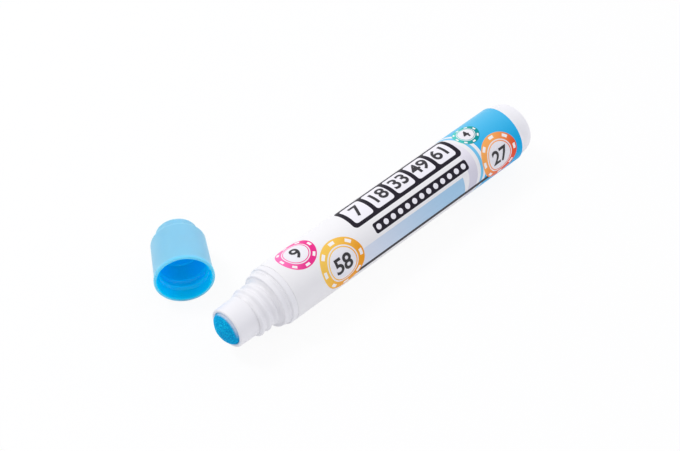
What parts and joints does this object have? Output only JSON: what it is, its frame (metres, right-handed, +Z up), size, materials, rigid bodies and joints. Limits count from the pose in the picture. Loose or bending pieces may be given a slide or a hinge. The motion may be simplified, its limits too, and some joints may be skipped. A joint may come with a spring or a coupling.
{
  "type": "bingo dauber",
  "caption": "Slim ink dauber lying on its side: labelled squeeze barrel with a threaded neck, sprung foam tip over a shut-off valve, and its screw cap taken off and lying beside it.",
  "frame": {"origin": "on the table, under the middle of the footprint of the dauber and its loose cap", "axes": "+X along the dauber's axis from the foam tip to the base, +Y from the dauber towards the loose cap, +Z up from the table that both lie on"},
  "size_m": [0.1324, 0.0554, 0.02],
  "materials": {
    "barrel_plastic": "blow-moulded white polyethylene, satin",
    "label_print": "printed wrap-round film label, semi-gloss",
    "nose_plastic": "injection-moulded white polyethylene, satin",
    "foam": "open-cell foam soaked with blue ink",
    "valve_plastic": "injection-moulded natural polypropylene",
    "washer_rubber": "nitrile rubber",
    "spring_wire": "stainless spring wire",
    "cap_plastic": "injection-moulded blue polyethylene, semi-gloss"
  },
  "bodies": {
    "dauber": {"bottle": "barrel_plastic", "label": "label_print", "tip_housing": "nose_plastic", "spring_cage": "valve_plastic", "valve_spring": "spring_wire"},
    "tip": {"foam_tip": "foam", "foam_carrier": "valve_plastic", "valve_washer": "washer_rubber", "valve_head": "valve_plastic"},
    "cap": {"cap": "cap_plastic"}
  },
  "joints": [
    {"name": "tip_press", "type": "slide", "parent": "dauber", "child": "tip", "axis": [1, 0, 0], "range_m": [0, 0.001], "stiffness_N_per_m": 300, "springref_m": -0.002, "deforming": ["valve_spring"]},
    {"name": "cap_draw", "type": "slide", "parent": "dauber", "child": "cap", "axis": [0.5519, 0.8339, 0], "range_m": [0, 0.03]}
  ]
}
